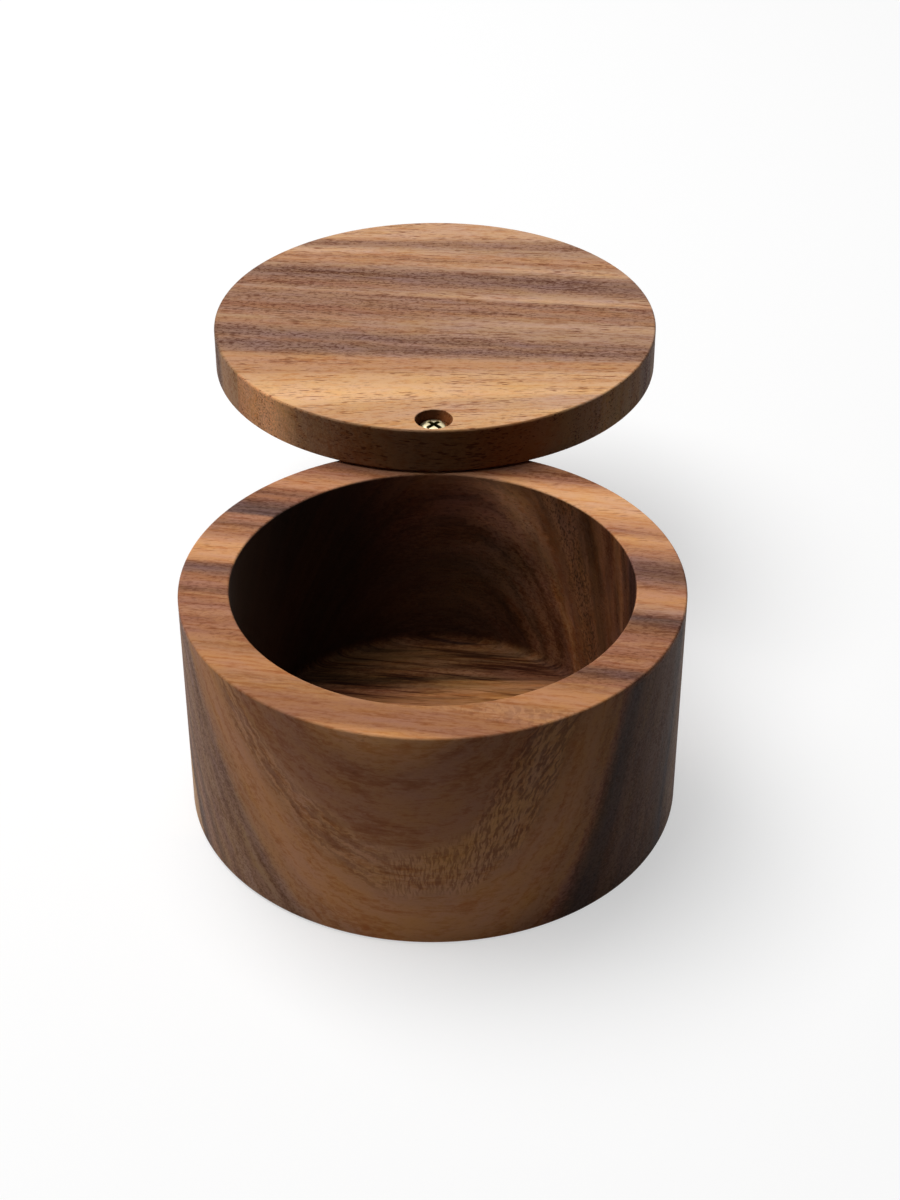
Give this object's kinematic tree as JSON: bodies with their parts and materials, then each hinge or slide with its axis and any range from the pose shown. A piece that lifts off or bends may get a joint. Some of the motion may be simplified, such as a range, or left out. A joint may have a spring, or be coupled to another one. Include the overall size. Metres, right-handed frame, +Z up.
{
  "type": "salt box with swivel lid",
  "caption": "Round turned wooden salt box, open at the top, with a flat round lid that swivels sideways on a screw in the rim.",
  "frame": {"origin": "centre of the box's underside, where it stands on the table", "axes": "+Z up, +Y from the front of the box to the screw at its back, +X to the right as seen from the front. At rest the lid is swung half a turn from closed, so it points to +Y"},
  "size_m": [0.1, 0.19, 0.0604],
  "materials": {
    "box_wood": "satin",
    "lid_wood": "satin",
    "plated_screw": "polished",
    "washer_plastic": "satin"
  },
  "bodies": {
    "box_body": {"box": "box_wood", "pivot_screw": "plated_screw", "glide_washer": "washer_plastic"},
    "lid_body": {"lid": "lid_wood"}
  },
  "joints": [
    {"name": "lid_swivel", "type": "hinge", "parent": "box_body", "child": "lid_body", "pos_m": [0, 0.045, 0.05545], "axis": [0, 0, 1], "continuous": true}
  ]
}
